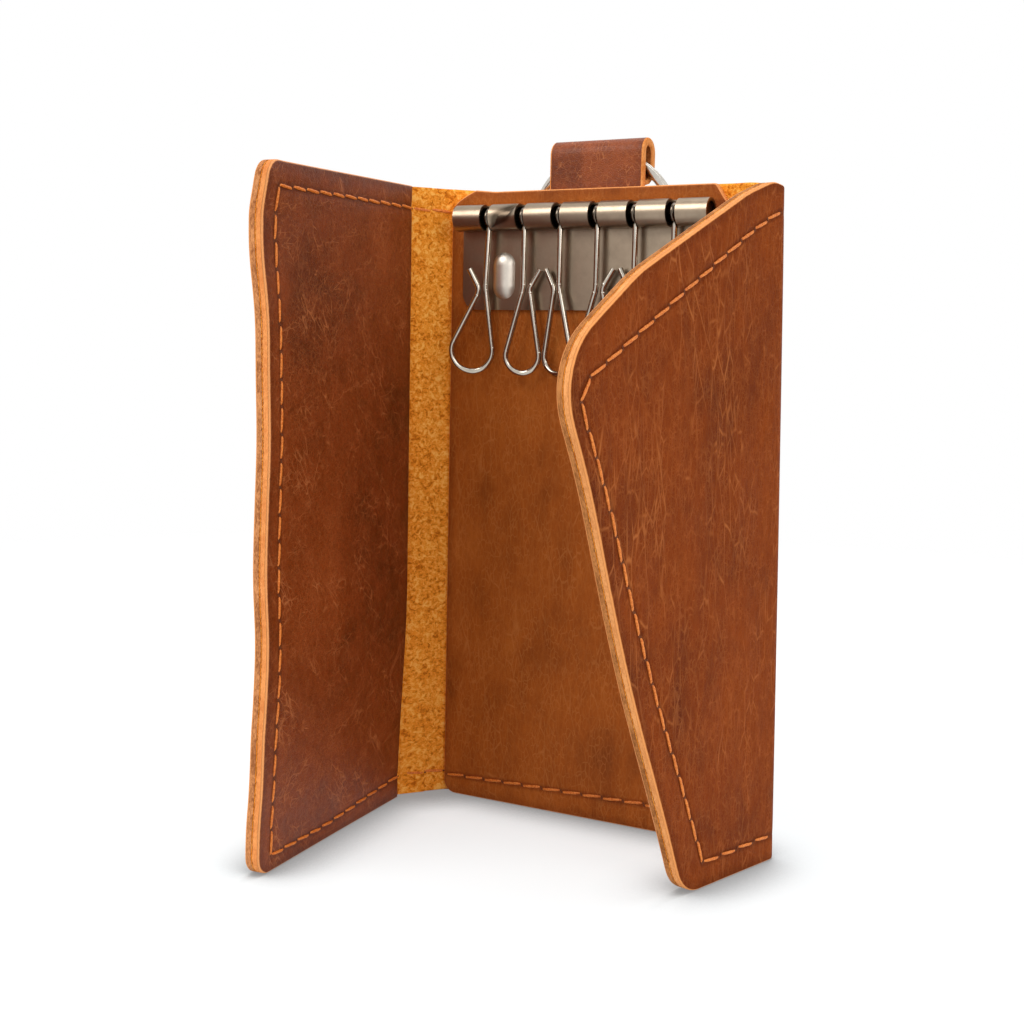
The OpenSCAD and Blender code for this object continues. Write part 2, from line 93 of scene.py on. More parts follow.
# The leather's free form, also only here. Each hill of a flap is (height, place in z, width)
LEFT_BOW = 1.1
LEFT_HILLS = [(0.7, 100, 8), (0.66, 47.5, 8.5)]
RIGHT_HILLS = [(1.0, 66, 17), (-1.3, 32, 14)]
RIGHT_WARP_W = 52
RIGHT_TWIST = 18
LEFT_WIDENING, LEFT_WIDENING_TOP = 1.5, 42

# How far the top edges rise or drop, and over what distance along the leather
RISE_FROM = 98
PANEL_RISE, PANEL_RISE_START, PANEL_RISE_REACH = 0.6, 19, 6
LEFT_RISE, LEFT_RISE_REACH, LEFT_RISE_FADE = 0.85, 10, 45
RIGHT_DROP, RIGHT_DROP_FADE, RIGHT_DROP_CURVE = 1.45, 10, 1.7

# Outline corners as (distance from the crease, height, radius).
# The right flap's slope swells a little above the point
flap_point, flap_top = Vector((55.8, 84.4)), Vector((3.0, CASE_H))
slope = flap_top - flap_point
square_to_slope = Vector((slope.y, -slope.x)).normalized()
flap_swell = flap_point + FLAP_SWELL_SHARE * slope + FLAP_SWELL * square_to_slope
RIGHT_FLAP = [(25.4, 0, 6), (*flap_point, 13), (*flap_swell, 30), (*flap_top, 6)]
LEFT_FLAP = [(LEFT_FLAP_W, 0, 3), (LEFT_FLAP_W, CASE_H, 3)]
PANEL = [
    (-PANEL_HALF, 0, 2.5), (PANEL_HALF, 0, 2.5),
    (PANEL_HALF, CASE_H - 5, 0.8), (PANEL_HALF - 3.3, CASE_H, 0.8),
    (5 - PANEL_HALF, CASE_H, 0.8), (-PANEL_HALF, CASE_H - 2.8, 0.8)]


def smooth(t):
    t = np.clip(t, 0, 1)
    return t * t * (3 - 2 * t)


def bump(t, width):
    """A soft hill of height 1 round t = 0."""
    return np.exp(-((t / width) ** 2))


def hills(z, shapes):
    """The sum of soft hills, each (height, place, width)."""
    return sum(height * bump(z - place, width) for height, place, width in shapes)


# Outlines

def rounded(corners, steps=10):
    """The points of a closed outline whose corners are (u, z, radius)."""
    points = []
    for i, (u, z, radius) in enumerate(corners):
        corner = Vector((u, z))
        before = (Vector(corners[i - 1][:2]) - corner).normalized()
        after = (Vector(corners[(i + 1) % len(corners)][:2]) - corner).normalized()
        if radius == 0:
            points.append(corner)
            continue
        half = math.acos(max(-1, min(1, before.dot(after)))) / 2
        middle = corner + (before + after).normalized() * radius / math.sin(half)
        reach = radius / math.tan(half)
        start = corner + before * reach - middle
        end = corner + after * reach - middle
        turn = math.atan2(start.x * end.y - start.y * end.x, start.dot(end))
        first = math.atan2(start.y, start.x)
        for k in range(steps + 1):
            a = first + turn * k / steps
            points.append(middle + radius * Vector((math.cos(a), math.sin(a))))
    return np.array([tuple(p) for p in points])


def span(outline, heights):
    """The lowest and highest u of a convex outline at each height."""
    low = np.full(len(heights), np.inf)
    high = np.full(len(heights), -np.inf)
    for a, b in zip(outline, np.roll(outline, -1, axis=0)):
        if a[1] > b[1]:
            a, b = b, a
        inside = (heights >= a[1] - 1e-6) & (heights <= b[1] + 1e-6)
        t = (heights[inside] - a[1]) / max(b[1] - a[1], 1e-9)
        u = a[0] + (b[0] - a[0]) * np.clip(t, 0, 1)
        other = b[0] if b[1] - a[1] < 1e-6 else u
        low[inside] = np.minimum(low[inside], np.minimum(u, other))
        high[inside] = np.maximum(high[inside], np.maximum(u, other))
    return low, high


def distance_to(line, u, z):
    """The distance from each point to a polyline."""
    best = np.full(u.shape, 1e9)
    for a, b in zip(line[:-1], line[1:]):
        du, dz = b[0] - a[0], b[1] - a[1]
        size = max(du * du + dz * dz, 1e-12)
        t = np.clip(((u - a[0]) * du + (z - a[1]) * dz) / size, 0, 1)
        best = np.minimum(best, np.hypot(u - a[0] - t * du, z - a[1] - t * dz))
    return best


# The surfaces that the plies follow. Each takes u, the distance along the leather, z, and the
# height above the shell's inner face, outwards

class Fold:
    """The leather round one crease: straight before it, bent at it, straight after it.

    shape(z) gives the crease's place and the leather's directions before and after it at each
    height. reach is how far the bend runs on both sides of the crease."""

    def __init__(self, shape, side, reach, rise, warp=None, stretch=None):
        self.shape, self.side, self.reach = shape, side, reach
        self.rise, self.warp, self.stretch = rise, warp, stretch
        self.hinge, self.before, self.after = (v[0] for v in shape(np.array([CASE_H / 2])))

    def __call__(self, u, z, n):
        hinge, before, after = self.shape(z)
        near, far = self.reach
        if self.stretch:
            u = u - self.stretch(z) * np.maximum(-u - near, 0)
        start = hinge - near * before
        end = hinge + far * after
        t = np.clip((u + near) / (near + far), 0, 1)[..., None]
        bent = (1 - t) ** 2 * start + 2 * t * (1 - t) * hinge + t**2 * end
        tangent = (1 - t) * near * before + t * far * after
        bent = bent + np.minimum(u + near, 0)[..., None] * before
        bent = bent + np.maximum(u - far, 0)[..., None] * after
        tangent /= np.linalg.norm(tangent, axis=-1, keepdims=True)
        outward = self.side * np.stack([-tangent[..., 1], tangent[..., 0]], axis=-1)
        lift = n + (self.warp(u, z) if self.warp else 0)
        flat = bent + lift[..., None] * outward
        return np.concatenate([flat, (z + self.rise(u) * near_top(z))[..., None]], axis=-1)


def near_top(z):
    return smooth((z - RISE_FROM) / (CASE_H - RISE_FROM))


def panel_surface(u, z, n):
    rise = PANEL_RISE * np.clip((-u - PANEL_RISE_START) / PANEL_RISE_REACH, 0, 1) * near_top(z)
    return np.stack([u, n - HALF_PLY, z + rise], axis=-1)


def heading(side, turn):
    """The direction away from the spine's side after a turn in degrees towards the front."""
    a = np.radians(turn)
    return np.stack([side * np.cos(a), -np.sin(a)], axis=-1)


def side_folds(name, side, flap_reach, twist, widen, warp, spine_rise, flap_rise):
    """The two creases of one side, the spine's and the flap's, and the width of the band between.

    The band turns further by twist degrees from its bottom to its top, and is wider by widen(z).
    The rises give how far the top edge stands above its place in the model, from u."""
    first, second = JOINTS[name + "_crease_spine"], JOINTS[name + "_crease_flap"]
    corner = [np.array(j["pos_m"][:2]) / MM for j in (first, second)]
    width = float(np.linalg.norm(corner[1] - corner[0]))
    band_turn = first["range_deg"][1]
    flap_turn = band_turn + second["range_deg"][1]

    def band(z):
        return heading(side, band_turn + twist * (z / CASE_H - 0.5))

    def spine_shape(z):
        return np.broadcast_to(corner[0], z.shape + (2,)), heading(side, 0 * z), band(z)

    def flap_shape(z):
        foot = corner[0] + (width + widen(z))[..., None] * band(z)
        return foot, band(z), heading(side, flap_turn + 0 * z)

    def stretch(z):
        return widen(z) / (width / 2 - flap_reach[0])

    spine_fold = Fold(spine_shape, side, (0.6, 1.8), spine_rise)
    return spine_fold, Fold(flap_shape, side, flap_reach, flap_rise, warp, stretch), width


def left_warp(u, z):
    """The left flap's free edge bows inwards at mid-height, with small waves."""
    out = np.clip(u / LEFT_FLAP_W, 0, 1) ** 2
    bow = LEFT_BOW / 2 - LEFT_BOW * np.sin(np.pi * np.clip(z / CASE_H, 0, 1))
    wave = 0.2 * np.sin(z / 8.3 + 0.6) + 0.11 * np.sin(z / 3.9 + u / 9)
    ends = -0.95 * smooth((z - 106) / 8) - 0.85 * smooth((25 - z) / 14)
    return out * (bow + wave + hills(z, LEFT_HILLS) + ends)


def right_warp(u, z):
    """The shaped flap bulges along the upper part of its free side and is hollow lower down."""
    out = np.clip(u / RIGHT_WARP_W, 0, 1) ** 2
    return out * (hills(z, RIGHT_HILLS) + 0.2 * np.sin(z / 12.7) + 0.1 * np.sin(z / 5.1 + 1))


def left_widen(z):
    """The left crease runs slightly away from the spine towards its foot."""
    return LEFT_WIDENING * smooth((LEFT_WIDENING_TOP - z) / LEFT_WIDENING_TOP)


def no_widening(z):
    return 0 * z


def left_spine_rise(u):
    return LEFT_RISE * np.clip((u + LEFT_RISE_REACH) / LEFT_RISE_REACH, 0, 1)


def left_flap_rise(u):
    return LEFT_RISE * np.clip(1 - u / LEFT_RISE_FADE, 0, 1)


def right_spine_rise(u):
    return -RIGHT_DROP * np.clip(u / RIGHT_BAND_W, 0, 1) ** RIGHT_DROP_CURVE


def right_flap_rise(u):
    over_band = np.clip(1 + np.minimum(u, 0) / RIGHT_BAND_W, 0, 1) ** RIGHT_DROP_CURVE
    return -RIGHT_DROP * over_band * np.clip(1 - u / RIGHT_DROP_FADE, 0, 1)


left_spine, left_fold, LEFT_BAND = side_folds(
    "left", -1, (1.5, 0.95), 0, left_widen, left_warp, left_spine_rise, left_flap_rise)
right_spine, right_fold, RIGHT_BAND = side_folds(
    "right", 1, (1.6, 0.95), RIGHT_TWIST, no_widening, right_warp, right_spine_rise,
    right_flap_rise)
SPINE_HALF = right_spine.hinge[0]


# Materials

def node_tree(name):
    material = bpy.data.materials.new(name)
    material.use_nodes = True
    tree = material.node_tree
    tree.nodes.clear()
    out = tree.nodes.new("ShaderNodeOutputMaterial")
    shader = tree.nodes.new("ShaderNodeBsdfPrincipled")
    tree.links.new(shader.outputs[0], out.inputs[0])
    return material, tree, shader


class Nodes:
    """Short calls for the nodes that the materials are made of."""

    def __init__(self, tree):
        self.tree = tree

    def make(self, kind, **settings):
        node = self.tree.nodes.new(kind)
        for key, value in settings.items():
            setattr(node, key, value)
        return node

    def link(self, source, target):
        if isinstance(source, (int, float, tuple)):
            target.default_value = source
        else:
            self.tree.links.new(source, target)

    def sheet(self, scale=(1, 1, 1)):
        """The place on the leather in millimetres: along the ply, up, and across."""
        place = self.make("ShaderNodeAttribute", attribute_name="flat")
        mapping = self.make("ShaderNodeMapping")
        self.link(place.outputs["Vector"], mapping.inputs["Vector"])
        mapping.inputs["Scale"].default_value = scale
        return mapping.outputs[0]

    def solid(self, scale=(1, 1, 1)):
        """The place in space in millimetres."""
        place = self.make("ShaderNodeTexCoord")
        mapping = self.make("ShaderNodeMapping")
        self.link(place.outputs["Object"], mapping.inputs["Vector"])
        mapping.inputs["Scale"].default_value = tuple(s / MM for s in scale)
        return mapping.outputs[0]

    def value(self, attribute):
        return self.make("ShaderNodeAttribute", attribute_name=attribute).outputs["Fac"]

    def noise(self, vector, size, detail=3, rough=0.55, distort=0.0):
        """Noise whose spots are about size millimetres across."""
        node = self.make("ShaderNodeTexNoise")
        self.link(vector, node.inputs["Vector"])
        node.inputs["Scale"].default_value = 1 / size
        node.inputs["Detail"].default_value = detail
        node.inputs["Roughness"].default_value = rough
        node.inputs["Distortion"].default_value = distort
        return node.outputs["Fac"]

    def cracks(self, vector, size, width, wobble=0.5):
        """1 on the thin lines between cells of about size millimetres, 0 inside them."""
        shift = self.make("ShaderNodeTexNoise")
        self.link(vector, shift.inputs["Vector"])
        shift.inputs["Scale"].default_value = 0.8 / size
        mixed = self.make("ShaderNodeVectorMath", operation="MULTIPLY_ADD")
        self.link(shift.outputs["Color"], mixed.inputs[0])
        mixed.inputs[1].default_value = (wobble * size,) * 3
        self.link(vector, mixed.inputs[2])
        cells = self.make("ShaderNodeTexVoronoi", feature="DISTANCE_TO_EDGE")
        self.link(mixed.outputs[0], cells.inputs["Vector"])
        cells.inputs["Scale"].default_value = 1 / size
        return self.ramp(cells.outputs["Distance"], 0, width, 1, 0)

    def turned(self, vector, angle, stretch):
        """The place with the pattern turned by an angle in degrees and stretched along it."""
        turn = self.make("ShaderNodeMapping")
        self.link(vector, turn.inputs["Vector"])
        turn.inputs["Rotation"].default_value = (0, 0, math.radians(angle))
        squeeze = self.make("ShaderNodeVectorMath", operation="MULTIPLY")
        self.link(turn.outputs[0], squeeze.inputs[0])
        squeeze.inputs[1].default_value = (1, 1 / stretch, 1)
        return squeeze.outputs[0]

    def ramp(self, value, low, high, to_low=0.0, to_high=1.0):
        node = self.make("ShaderNodeMapRange", interpolation_type="SMOOTHSTEP")
        self.link(value, node.inputs["Value"])
        numbers = {"From Min": low, "From Max": high, "To Min": to_low, "To Max": to_high}
        for key, number in numbers.items():
            node.inputs[key].default_value = number
        return node.outputs[0]

    def math(self, operation, a, b=0.0):
        node = self.make("ShaderNodeMath", operation=operation)
        self.link(a, node.inputs[0])
        self.link(b, node.inputs[1])
        return node.outputs[0]

    def blend(self, factor, a, b, mode="MIX"):
        node = self.make("ShaderNodeMix", data_type="RGBA", blend_type=mode)
        self.link(factor, node.inputs["Factor"])
        self.link(a, node.inputs[6])
        self.link(b, node.inputs[7])
        return node.outputs[2]

    def height(self, value, depth, after=None, strength=1.0):
        """Bump of depth millimetres."""
        node = self.make("ShaderNodeBump")
        self.link(value, node.inputs["Height"])
        node.inputs["Distance"].default_value = depth * MM
        node.inputs["Strength"].default_value = strength
        if after is not None:
            self.link(after, node.inputs["Normal"])
        return node.outputs[0]

    def background_rays(self):
        """1 for the rays that see the plain background: the camera's, gloss's and glass's."""
        path = self.make("ShaderNodeLightPath")
        seen = self.math("MAXIMUM", path.outputs["Is Camera Ray"], path.outputs["Is Glossy Ray"])
        return self.math("MAXIMUM", seen, path.outputs["Is Transmission Ray"])


def rgb(r, g, b):
    """A colour typed as it looks on screen, from 0 to 255."""
    def linear(c):
        c /= 255
        return c / 12.92 if c <= 0.04045 else ((c + 0.055) / 1.055) ** 2.4
    return (linear(r), linear(g), linear(b), 1.0)


def dimmed(colour, share):
    return tuple(share * c for c in colour[:3]) + (1.0,)


# Sizes of the leather's pattern and the depths of its relief, in millimetres
CLOUD, SPOT, FINE, PORE = 24, 5.0, 0.7, 0.4
SPOT_DEPTH, FINE_DEPTH, PORE_DEPTH, CREASE_DEPTH = 0.12, 0.045, 0.018, 0.04

RIM = rgb(224, 148, 86)
JOINT_SHADE = rgb(84, 42, 18)
# Painted shade for the nickel round the axle, inside the bar's slots and the hook eyes
BORE_SHADE = rgb(70, 58, 46)


def grain_leather(name, dark, middle, light, edge, creases, grain, rough, shine, seed):
    """Smooth leather: clouded colour, fine pores and thin creases that catch the light.

    grain is how far its spots run up and down the ply. Each row of creases is (size of the cells
    in mm, stretch, angle, width of the lines, threshold of the patches, strength)."""
    material, tree, shader = node_tree(name)
    n = Nodes(tree)
    shift = n.make("ShaderNodeVectorMath", operation="ADD")
    n.link(n.sheet(), shift.inputs[0])
    shift.inputs[1].default_value = (seed, seed * 1.7, seed)
    place = shift.outputs[0]
    along = n.turned(place, 0, grain)
    clouds = n.noise(place, CLOUD, 2, 0.5, 0.3)
    spots = n.noise(along, SPOT, 4, 0.6, 0.3)
    fine = n.noise(along, FINE, 5, 0.7)
    tone = n.math("ADD", n.math("MULTIPLY", clouds, 0.55), n.math("MULTIPLY", spots, 0.45))
    colour = n.blend(n.ramp(tone, 0.28, 0.54), dark, middle)
    colour = n.blend(n.ramp(tone, 0.5, 0.72, 0.0, 0.7), colour, light)
    colour = n.blend(n.ramp(fine, 0.3, 0.75, 0.0, 0.22), colour, dark, "MULTIPLY")
    lines = 0.0
    for size, stretch, angle, width, threshold, strength in creases:
        turned = n.turned(place, angle, stretch)
        thin = n.cracks(turned, size, width, 0.3)
        patches = n.noise(turned, 3.2 * size, 3)
        shown = n.ramp(patches, threshold, threshold + 0.14, 0.1, strength)
        lines = n.math("MAXIMUM", lines, n.math("MULTIPLY", thin, shown))
    lines = n.math("MULTIPLY", lines, n.ramp(n.noise(along, 1.3, 2), 0.34, 0.55, 0.45, 1.0))
    colour = n.blend(lines, colour, edge)
    near = n.ramp(n.value("rim"), 0.4, 2.2, 0.25, 0.0)
    colour = n.blend(near, colour, dark, "MULTIPLY")
    # Painted shade: the grain is darker along the pressed groove of each seam
    seam = n.ramp(n.value("seam"), 0.3, 1.0, 0.4, 0.0)
    colour = n.blend(seam, colour, dark, "MULTIPLY")
    worn_rim = n.math("ADD", n.value("rim"), n.math("MULTIPLY", fine, 0.14))
    colour = n.blend(n.ramp(worn_rim, 0.2, 0.36, 1.0, 0.0), colour, RIM)
    n.link(colour, shader.inputs["Base Color"])
    worn = n.ramp(spots, 0.3, 0.7, rough - 0.06, rough + 0.05)
    n.link(n.math("ADD", n.math("MULTIPLY", fine, 0.16), worn), shader.inputs["Roughness"])
    shader.inputs["Specular IOR Level"].default_value = shine
    pores = n.cracks(place, PORE, 0.22, 0.4)
    bumped = n.height(pores, PORE_DEPTH)
    bumped = n.height(fine, FINE_DEPTH, bumped)
    bumped = n.height(lines, CREASE_DEPTH, bumped)
    bumped = n.height(spots, SPOT_DEPTH, bumped)
    n.link(bumped, shader.inputs["Normal"])
    return material


def suede_leather(name, dark, middle, light, nap=0.16):
    """The flesh side: mottled and matt, with short nap."""
    material, tree, shader = node_tree(name)
    n = Nodes(tree)
    place = n.sheet()
    large = n.noise(place, 1.3, 3, 0.6, 1.2)
    small = n.noise(place, 0.55, 4, 0.7, 0.8)
    tone = n.math("ADD", n.math("MULTIPLY", large, 0.5), n.math("MULTIPLY", small, 0.5))
    colour = n.blend(n.ramp(tone, 0.37, 0.5), dark, middle)
    colour = n.blend(n.ramp(tone, 0.48, 0.62), colour, light)
    n.link(colour, shader.inputs["Base Color"])
    shader.inputs["Roughness"].default_value = 0.95
    shader.inputs["Specular IOR Level"].default_value = 0.1
    shader.inputs["Sheen Weight"].default_value = 0.08
    shader.inputs["Sheen Roughness"].default_value = 0.6
    shader.inputs["Sheen Tint"].default_value = light
    bumped = n.height(small, nap)
    bumped = n.height(large, nap * 1.6, bumped)
    n.link(bumped, shader.inputs["Normal"])
    return material


def raw_edge(name, dark, light, joint=None):
    """The cut edge of a ply, with short fibres. It is dark beside the ply that it is sewn to:
    joint is 1 where that ply lies inside it, 0 where it lies outside."""
    material, tree, shader = node_tree(name)
    n = Nodes(tree)
    fibres = n.noise(n.solid((1.0, 1.0, 0.5)), 0.3, 4, 0.7)
    patches = n.noise(n.solid(), 4, 3)
    tone = n.math("ADD", n.math("MULTIPLY", fibres, 0.55), n.math("MULTIPLY", patches, 0.45))
    colour = n.blend(n.ramp(tone, 0.38, 0.62), dark, light)
    if joint is not None:
        split = n.make("ShaderNodeSeparateXYZ")
        n.link(n.sheet(), split.inputs[0])
        across = n.math("ABSOLUTE", n.math("SUBTRACT", split.outputs[2], float(joint)))
        ragged = n.math("ADD", across, n.math("MULTIPLY", n.math("SUBTRACT", fibres, 0.5), 0.35))
        colour = n.blend(n.ramp(ragged, 0.02, 0.13, 0.8, 0.0), colour, JOINT_SHADE)
    n.link(colour, shader.inputs["Base Color"])
    shader.inputs["Roughness"].default_value = 0.8
    shader.inputs["Specular IOR Level"].default_value = 0.15
    n.link(n.height(fibres, 0.1), shader.inputs["Normal"])
    return material


def waxed_thread(name, dark, light):
    material, tree, shader = node_tree(name)
    n = Nodes(tree)
    fibres = n.noise(n.solid(), 0.25, 3, 0.6)
    n.link(n.blend(n.ramp(fibres, 0.3, 0.7), dark, light), shader.inputs["Base Color"])
    shader.inputs["Roughness"].default_value = 0.5
    shader.inputs["Specular IOR Level"].default_value = 0.35
    n.link(n.height(fibres, 0.05), shader.inputs["Normal"])
    return material


def nickel(name, tint, rough, scratch=0.06, bore=0.0):
    """Nickel with faint hairlines and smudges, and painted shade within bore millimetres of the
    axle.
    """
    material, tree, shader = node_tree(name)
    n = Nodes(tree)
    shader.inputs["Metallic"].default_value = 1.0
    hair = n.noise(n.solid((0.15, 1.0, 1.0)), 0.25, 3, 0.6)
    smudge = n.noise(n.solid(), 3.0, 4, 0.6)
    colour = n.blend(n.ramp(smudge, 0.35, 0.7), tint, dimmed(tint, 0.82))
    if bore:
        offset = n.make("ShaderNodeVectorMath", operation="SUBTRACT")
        n.link(n.solid(), offset.inputs[0])
        axle = JOINTS["hook_1_swing"]["pos_m"]
        offset.inputs[1].default_value = (0, axle[1] / MM, axle[2] / MM)
        flat = n.make("ShaderNodeVectorMath", operation="MULTIPLY")
        n.link(offset.outputs[0], flat.inputs[0])
        flat.inputs[1].default_value = (0, 1, 1)
        length = n.make("ShaderNodeVectorMath", operation="LENGTH")
        n.link(flat.outputs[0], length.inputs[0])
        # Painted shade: the bar's bore and the hook eyes round the axle are darkened, as they lie
        # in shadow in the slots
        inside = n.ramp(length.outputs["Value"], bore, bore + 0.35, 0.85, 0.0)
        colour = n.blend(inside, colour, BORE_SHADE)
    n.link(colour, shader.inputs["Base Color"])
    worn = n.ramp(smudge, 0.3, 0.75, rough * 0.92, rough * 1.15)
    n.link(n.math("ADD", worn, n.math("MULTIPLY", hair, scratch)), shader.inputs["Roughness"])
    n.link(n.height(hair, 0.003), shader.inputs["Normal"])
    return material


def plain_dark(name, colour):
    """The shadowed inside of a needle hole, with a little fibre."""
    material, tree, shader = node_tree(name)
    n = Nodes(tree)
    fibre = n.noise(n.solid(), 0.3, 2)
    n.link(n.blend(fibre, colour, dimmed(colour, 0.5)), shader.inputs["Base Color"])
    shader.inputs["Roughness"].default_value = 0.9
    return material


SHELL_OUT = grain_leather(
    "shell_grain", rgb(98, 38, 5), rgb(128, 54, 9), rgb(145, 66, 15), rgb(190, 112, 58),
    [(0.8, 2.2, 2, 0.11, 0.42, 0.26), (1.4, 4.5, -4, 0.07, 0.45, 0.45),
     (2.5, 5.5, 8, 0.04, 0.47, 0.6), (0.6, 1.0, 30, 0.12, 0.42, 0.2)],
    3.2, 0.46, 0.05, 3.0)
POCKET = grain_leather(
    "pocket_grain", rgb(92, 36, 8), rgb(126, 54, 15), rgb(150, 71, 27), rgb(192, 118, 70),
    [(0.8, 1.1, 0, 0.11, 0.42, 0.26), (1.1, 3.2, -38, 0.09, 0.52, 0.62),
     (1.2, 3.4, 24, 0.08, 0.54, 0.45), (1.0, 2.6, 76, 0.09, 0.53, 0.5)],
    1.1, 0.36, 0.27, 11.0)
CENTRE = grain_leather(
    "centre_grain", rgb(128, 62, 15), rgb(168, 87, 26), rgb(188, 105, 38), rgb(208, 134, 70),
    [(0.7, 2.4, 0, 0.12, 0.42, 0.26), (1.5, 4.0, -3, 0.06, 0.48, 0.34)],
    2.6, 0.46, 0.12, 23.0)
STRAP = grain_leather(
    "strap_grain", rgb(98, 42, 14), rgb(140, 68, 30), rgb(168, 90, 46), rgb(214, 136, 80),
    [(1.2, 1.4, 10, 0.08, 0.52, 0.35)],
    1.2, 0.3, 0.2, 31.0)
SUEDE = suede_leather("flesh_side", rgb(184, 96, 16), rgb(240, 148, 42), rgb(255, 190, 92))
STRAP_FLESH = suede_leather(
    "strap_flesh_side", rgb(112, 58, 22), rgb(150, 84, 38), rgb(176, 106, 56))
EDGE = raw_edge("raw_edge", rgb(206, 122, 54), rgb(236, 160, 92))
EDGE_SHELL_LEFT = raw_edge("raw_edge_shell_left", rgb(140, 82, 44), rgb(206, 138, 86), joint=1)
EDGE_SHELL_RIGHT = raw_edge("raw_edge_shell_right", rgb(204, 130, 72), rgb(230, 158, 96), joint=1)
EDGE_POCKET = raw_edge("raw_edge_pocket", rgb(206, 122, 62), rgb(228, 148, 84), joint=0)
EDGE_LINING = raw_edge("raw_edge_lining", rgb(132, 78, 36), rgb(190, 124, 68), joint=0)
THREAD = waxed_thread("orange_thread", rgb(196, 92, 22), rgb(238, 144, 62))
HOLE = plain_dark("needle_hole", rgb(118, 60, 26))
NICKEL_BAR = nickel("nickel_bar", (0.35, 0.27, 0.195, 1.0), 0.31, 0.02, bore=2.0)
NICKEL_WIRE = nickel("nickel_wire", (0.50, 0.45, 0.38, 1.0), 0.13, 0.03, bore=1.75)
NICKEL_SATIN = nickel("nickel_satin", (0.68, 0.62, 0.54, 1.0), 0.4)
NICKEL_RING = nickel("nickel_ring", (0.60, 0.56, 0.50, 1.0), 0.16)


# Meshes

def mesh_piece(name, vertices, faces, face_materials, materials, attributes=None, flat_kinds=()):
    """A piece from points in millimetres. Faces whose material is in flat_kinds are flat shaded."""
    mesh = bpy.data.meshes.new(name)
    mesh.from_pydata([tuple(v) for v in np.asarray(vertices) * MM], [], faces)
    for material in materials:
        mesh.materials.append(material)
    mesh.polygons.foreach_set("material_index", face_materials)
    mesh.polygons.foreach_set("use_smooth", [k not in flat_kinds for k in face_materials])
    for key, values in (attributes or {}).items():
        kind, field = ("FLOAT_VECTOR", "vector") if values.ndim == 2 else ("FLOAT", "value")
        attribute = mesh.attributes.new(key, kind, "POINT")
        attribute.data.foreach_set(field, values.astype(np.float32).ravel())
    mesh.update()
    piece = bpy.data.objects.new(name, mesh)
    bpy.context.scene.collection.objects.link(piece)
    return piece


def tube(sections, base=0):
    """Vertices and faces of a closed-ended tube from its rings. Its vertices count from base."""
    sides = len(sections[0])
    last = base + (len(sections) - 1) * sides
    faces = []
    for first in range(base, last, sides):
        for j in range(sides):
            q = (j + 1) % sides
            faces.append((first + j, first + q, first + sides + q, first + sides + j))
    faces.append(tuple(range(base, base + sides))[::-1])
    faces.append(tuple(range(last, last + sides)))
    return [v for ring in sections for v in ring], faces


# Leather plies

# The step between a ply's columns and rows, and the places of the closer ones near its borders
COLUMN_STEP = 0.8
EDGE_OFFSETS = np.array([0.0, 0.05, 0.13, 0.25, 0.4, 0.7])
END_ROWS = np.array([0.0, 0.03, 0.08, 0.16, 0.28, 0.42, 0.6, 0.85, 1.2, 1.6, 2.1])


def rows():
    """Heights from the bottom to the top, closer together at both ends."""
    low, high = END_ROWS[-1] + COLUMN_STEP, CASE_H - END_ROWS[-1] - COLUMN_STEP / 2
    middle = np.arange(low, high, COLUMN_STEP)
    return np.concatenate([END_ROWS, middle, CASE_H - END_ROWS[::-1]])


def hide_place(u, z, side, origin):
    """Where each point of a ply lies on its hide, with 0 on the outer face and 1 on the inner."""
    across = np.tile(side * (u.ravel() + origin), 2)
    return np.stack([across, np.tile(z.ravel(), 2), np.repeat([0.0, 1.0], u.size)], axis=-1)


def rounding(rim, radius):
    """How much thinner a ply is near its rim."""
    inside = np.clip(radius - rim, 0, radius)
    return radius - np.sqrt(radius**2 - inside**2)


def sheet(name, surface, u, z, heights, rounds, rim, seams, cut_sides, materials, side, origin):
    """The two faces of a ply over its columns u and rows z, and walls along its cut edges.

    heights and rounds are the height and the rounding of its inner and its outer face. The first
    cut_sides of its bottom, its top, its far side and its near side are cut edges."""
    seam = np.full(u.shape, FAR_FROM_SEAM)
    for line in seams:
        seam = np.minimum(seam, distance_to(line, u, z))
    pressed = SEAM_DEPTH * bump(seam, SEAM_WIDTH)
    outer = surface(u, z, heights[1] - rounding(rim, rounds[1]) - pressed)
    inner = surface(u, z, heights[0] + rounding(rim, rounds[0]) + pressed)
    r, c = u.shape
    grid = np.arange(r * c).reshape(r, c)
    quads = np.stack([grid[:-1, :-1], grid[:-1, 1:], grid[1:, 1:], grid[1:, :-1]], axis=-1)
    quads = quads.reshape(-1, 4)
    if side > 0:
        quads = quads[:, ::-1]
    faces = [tuple(q) for q in quads] + [tuple(q) for q in quads[:, ::-1] + r * c]
    kinds = [0] * len(quads) + [1] * len(quads)
    bottom, top, far, near = grid[0, :], grid[-1, ::-1], grid[:, -1], grid[::-1, 0]
    for k, loop in enumerate([bottom, top, far, near][:cut_sides]):
        for p, q in zip(loop[:-1], loop[1:]):
            wall = (p, q, q + r * c, p + r * c)
            faces.append(wall if (k in (0, 1)) == (side > 0) else wall[::-1])
            kinds.append(2)
    fields = {
        "flat": hide_place(u, z, side, origin),
        "rim": np.tile(rim.ravel(), 2),
        "seam": np.tile(seam.ravel(), 2)}
    points = np.vstack([outer.reshape(-1, 3), inner.reshape(-1, 3)])
    return mesh_piece(name, points, faces, kinds, materials, fields, flat_kinds=(2,))


